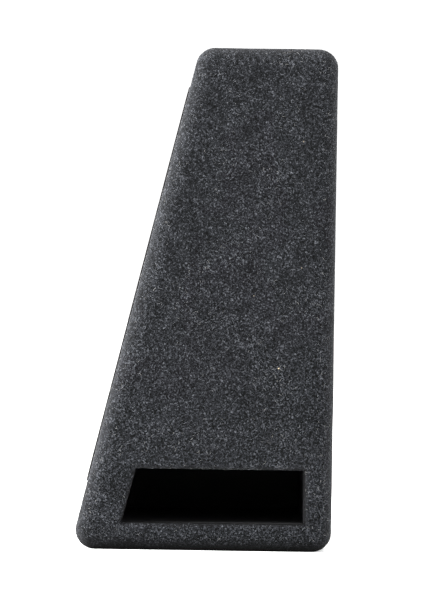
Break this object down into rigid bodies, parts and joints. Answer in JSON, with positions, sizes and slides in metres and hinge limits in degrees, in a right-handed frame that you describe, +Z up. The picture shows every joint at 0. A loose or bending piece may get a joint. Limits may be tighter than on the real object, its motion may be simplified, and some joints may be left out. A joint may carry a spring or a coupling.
{
  "type": "subwoofer enclosure",
  "caption": "Carpeted wedge-shaped subwoofer box with a low slot port in one end, a grille over a shallow driver and sprung terminals.",
  "frame": {"origin": "middle of the bounding box, at floor level", "axes": "+Z up, slot end faces -Y, terminal end faces +Y, leaning baffle faces -X, upright back faces +X"},
  "size_m": [0.1954, 0.486, 0.384],
  "materials": {
    "mdf": "sawn and routed fibreboard",
    "felt": "needle-punched heather carpet",
    "grille_steel": "textured powder coat",
    "rubber": "matt moulded",
    "screw_steel": "black phosphate",
    "frame_steel": "satin black paint",
    "plated_steel": "zinc plate",
    "ferrite": "ground ferrite",
    "pulp": "coated pulp",
    "foam": "closed-cell foam",
    "spider_cloth": "resin-dipped cotton",
    "former_foil": "rolled foil",
    "copper_wire": "enamelled copper",
    "cup_plastic": "moulded, fine spark texture",
    "red_plastic": "moulded",
    "black_plastic": "moulded",
    "nickel_brass": "nickel plated",
    "red_pvc": "extruded",
    "black_pvc": "extruded"
  },
  "bodies": {
    "enclosure": {"slot_end_panel": "mdf", "terminal_end_panel": "mdf", "back_panel": "mdf", "bottom_panel": "mdf", "top_panel": "mdf", "outer_baffle": "mdf", "baffle_doubler": "mdf", "port_shelf": "mdf", "carpet_wrap": "felt", "carpet_base": "felt", "carpet_slot_end": "felt", "carpet_terminal_end": "felt", "grille_plate": "grille_steel", "grille_edging": "rubber", "grille_screws": "screw_steel", "basket": "frame_steel", "mounting_gasket": "foam", "trim_ring": "rubber", "top_plate": "plated_steel", "magnet": "ferrite", "yoke": "plated_steel", "driver_screws": "screw_steel", "driver_terminals": "plated_steel", "surround": "rubber", "spider": "spider_cloth", "terminal_cup": "cup_plastic", "cup_gasket": "foam", "cup_screws": "screw_steel", "positive_lead": "red_pvc", "negative_lead": "black_pvc", "red_sleeve": "nickel_brass", "red_spring": "plated_steel", "red_lug": "nickel_brass", "red_nut": "nickel_brass", "black_sleeve": "nickel_brass", "black_spring": "plated_steel", "black_lug": "nickel_brass", "black_nut": "nickel_brass"},
    "cone_assembly": {"cone": "pulp", "dust_cap": "pulp", "coil_former": "former_foil", "coil_winding": "copper_wire"},
    "red_terminal_button": {"red_button": "red_plastic", "red_plunger": "nickel_brass"},
    "black_terminal_button": {"black_button": "black_plastic", "black_plunger": "nickel_brass"}
  },
  "joints": [
    {"name": "cone_travel", "type": "slide", "parent": "enclosure", "child": "cone_assembly", "axis": [-0.9713, 0, 0.2378], "range_m": [-0.008, 0.008], "stiffness_N_per_m": 5500, "deforming": ["surround", "spider"]},
    {"name": "red_button_press", "type": "slide", "parent": "enclosure", "child": "red_terminal_button", "axis": [0, -1, 0], "range_m": [0, 0.0045], "stiffness_N_per_m": 1400, "springref_m": -0.003, "deforming": ["red_spring"]},
    {"name": "black_button_press", "type": "slide", "parent": "enclosure", "child": "black_terminal_button", "axis": [0, -1, 0], "range_m": [0, 0.0045], "stiffness_N_per_m": 1400, "springref_m": -0.003, "deforming": ["black_spring"]}
  ]
}
